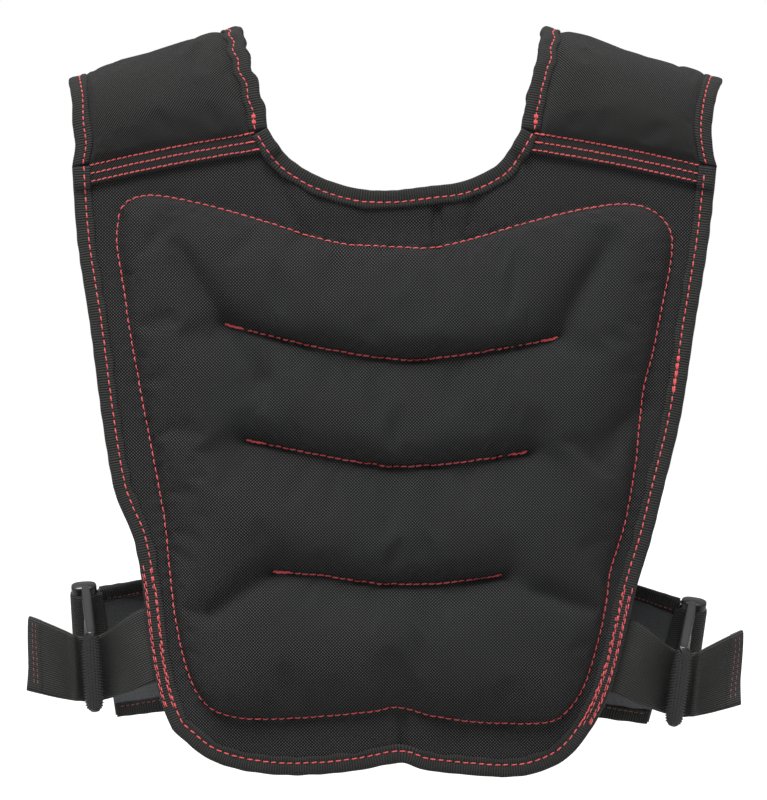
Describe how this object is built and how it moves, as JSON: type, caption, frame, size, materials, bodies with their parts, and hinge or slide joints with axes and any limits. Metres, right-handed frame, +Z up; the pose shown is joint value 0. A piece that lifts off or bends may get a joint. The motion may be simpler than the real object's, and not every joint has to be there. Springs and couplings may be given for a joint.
{
  "type": "weighted vest",
  "caption": "Short padded weighted vest with quilted front and back panels, arched shoulder pads and webbing sides held by knurled slides.",
  "frame": {"origin": "midway between the shoulders, at the height where the pads rest on them", "axes": "+Z up the body, -Y out of the front panel, +X to the right as seen from the front"},
  "size_m": [0.4831, 0.161, 0.5033],
  "materials": {
    "cloth": "black plain-weave nylon",
    "pad_cloth": "black fine soft twill",
    "edge_tape": "black ribbed binding tape",
    "wing_lining": "smooth black lining",
    "webbing": "black ribbed elastic webbing",
    "slide_plastic": "black knurled plastic",
    "thread": "red polyester sewing thread"
  },
  "bodies": {
    "root": {"front_panel": "cloth", "back_panel": "cloth", "front_binding": "edge_tape", "back_binding": "edge_tape", "front_neck_binding": "edge_tape", "back_neck_binding": "edge_tape", "shoulder_pad_left": "pad_cloth", "shoulder_neck_binding_left": "edge_tape", "shoulder_arm_binding_left": "edge_tape", "side_wing_left": "wing_lining", "wing_top_binding_left": "edge_tape", "wing_bottom_binding_left": "edge_tape", "wing_loop_left": "webbing", "side_strap_left": "webbing", "slide_buckle_left": "slide_plastic", "shoulder_pad_right": "pad_cloth", "shoulder_neck_binding_right": "edge_tape", "shoulder_arm_binding_right": "edge_tape", "side_wing_right": "wing_lining", "wing_top_binding_right": "edge_tape", "wing_bottom_binding_right": "edge_tape", "wing_loop_right": "webbing", "side_strap_right": "webbing", "slide_buckle_right": "slide_plastic"}
  },
  "joints": []
}
